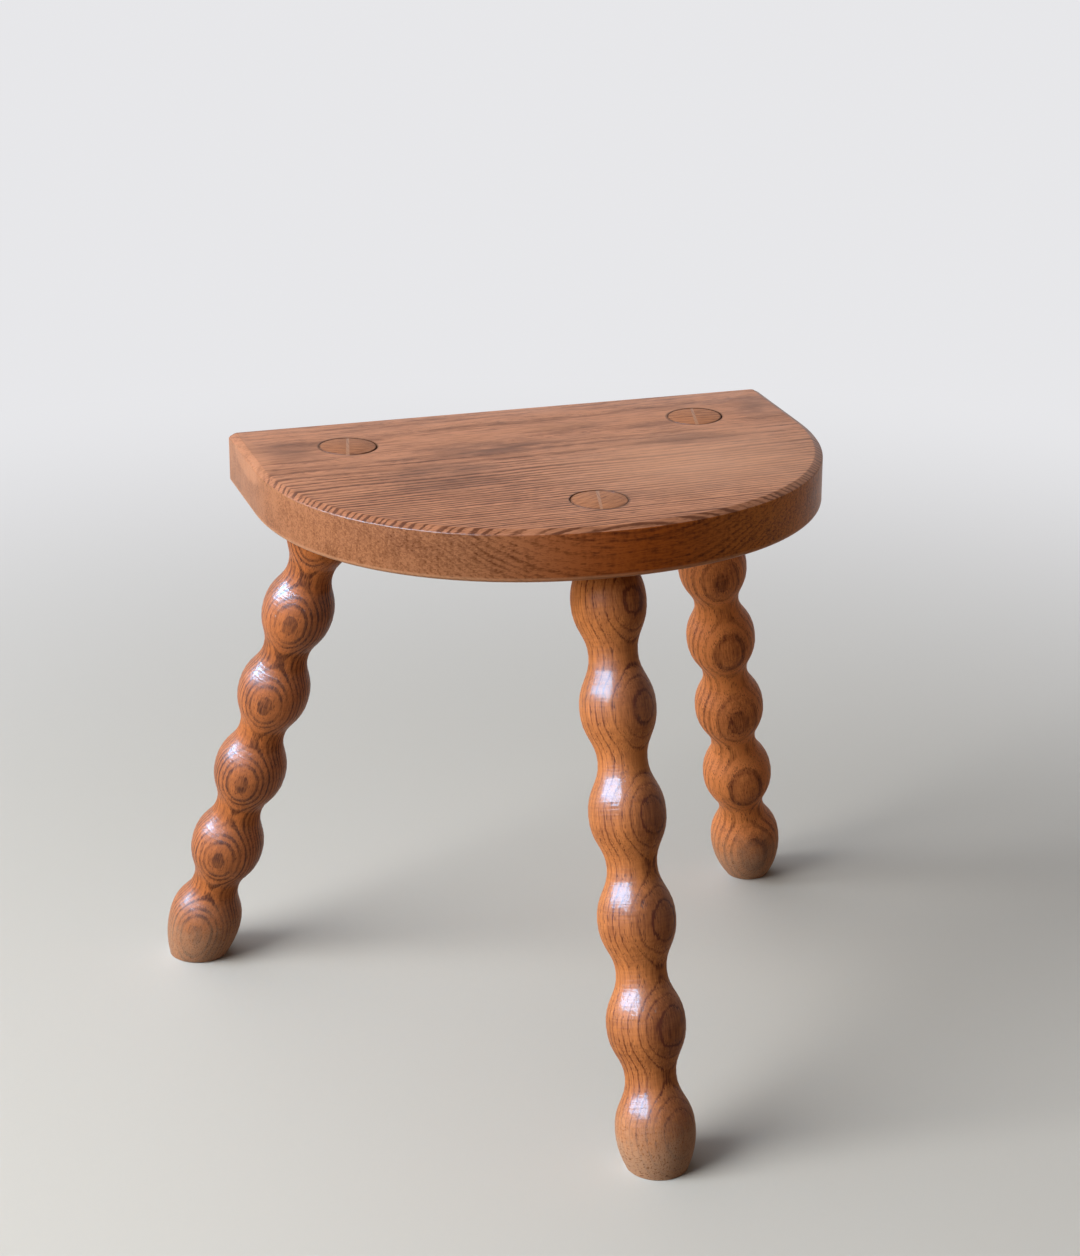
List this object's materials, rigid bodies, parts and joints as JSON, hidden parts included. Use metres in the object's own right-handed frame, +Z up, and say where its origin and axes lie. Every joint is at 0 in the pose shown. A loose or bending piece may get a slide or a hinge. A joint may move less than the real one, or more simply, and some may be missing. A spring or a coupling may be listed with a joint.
{
  "type": "bobbin stool",
  "caption": "Low wooden stool: a seat board with a straight back and round front on splayed bobbin-turned legs, whose wedged tenons show in its top.",
  "frame": {"origin": "on the floor, below the middle of the bounding box", "axes": "+Z up, +X to the right as seen from the front, -Y towards the round front of the seat"},
  "size_m": [0.3761, 0.3534, 0.3233],
  "materials": {
    "seat_wood": "satin",
    "leg_wood": "satin",
    "wedge_wood": "satin"
  },
  "bodies": {
    "root": {"seat_board": "seat_wood", "leg_front": "leg_wood", "leg_back_left": "leg_wood", "leg_back_right": "leg_wood", "wedge_front": "wedge_wood", "wedge_back_left": "wedge_wood", "wedge_back_right": "wedge_wood"}
  },
  "joints": []
}
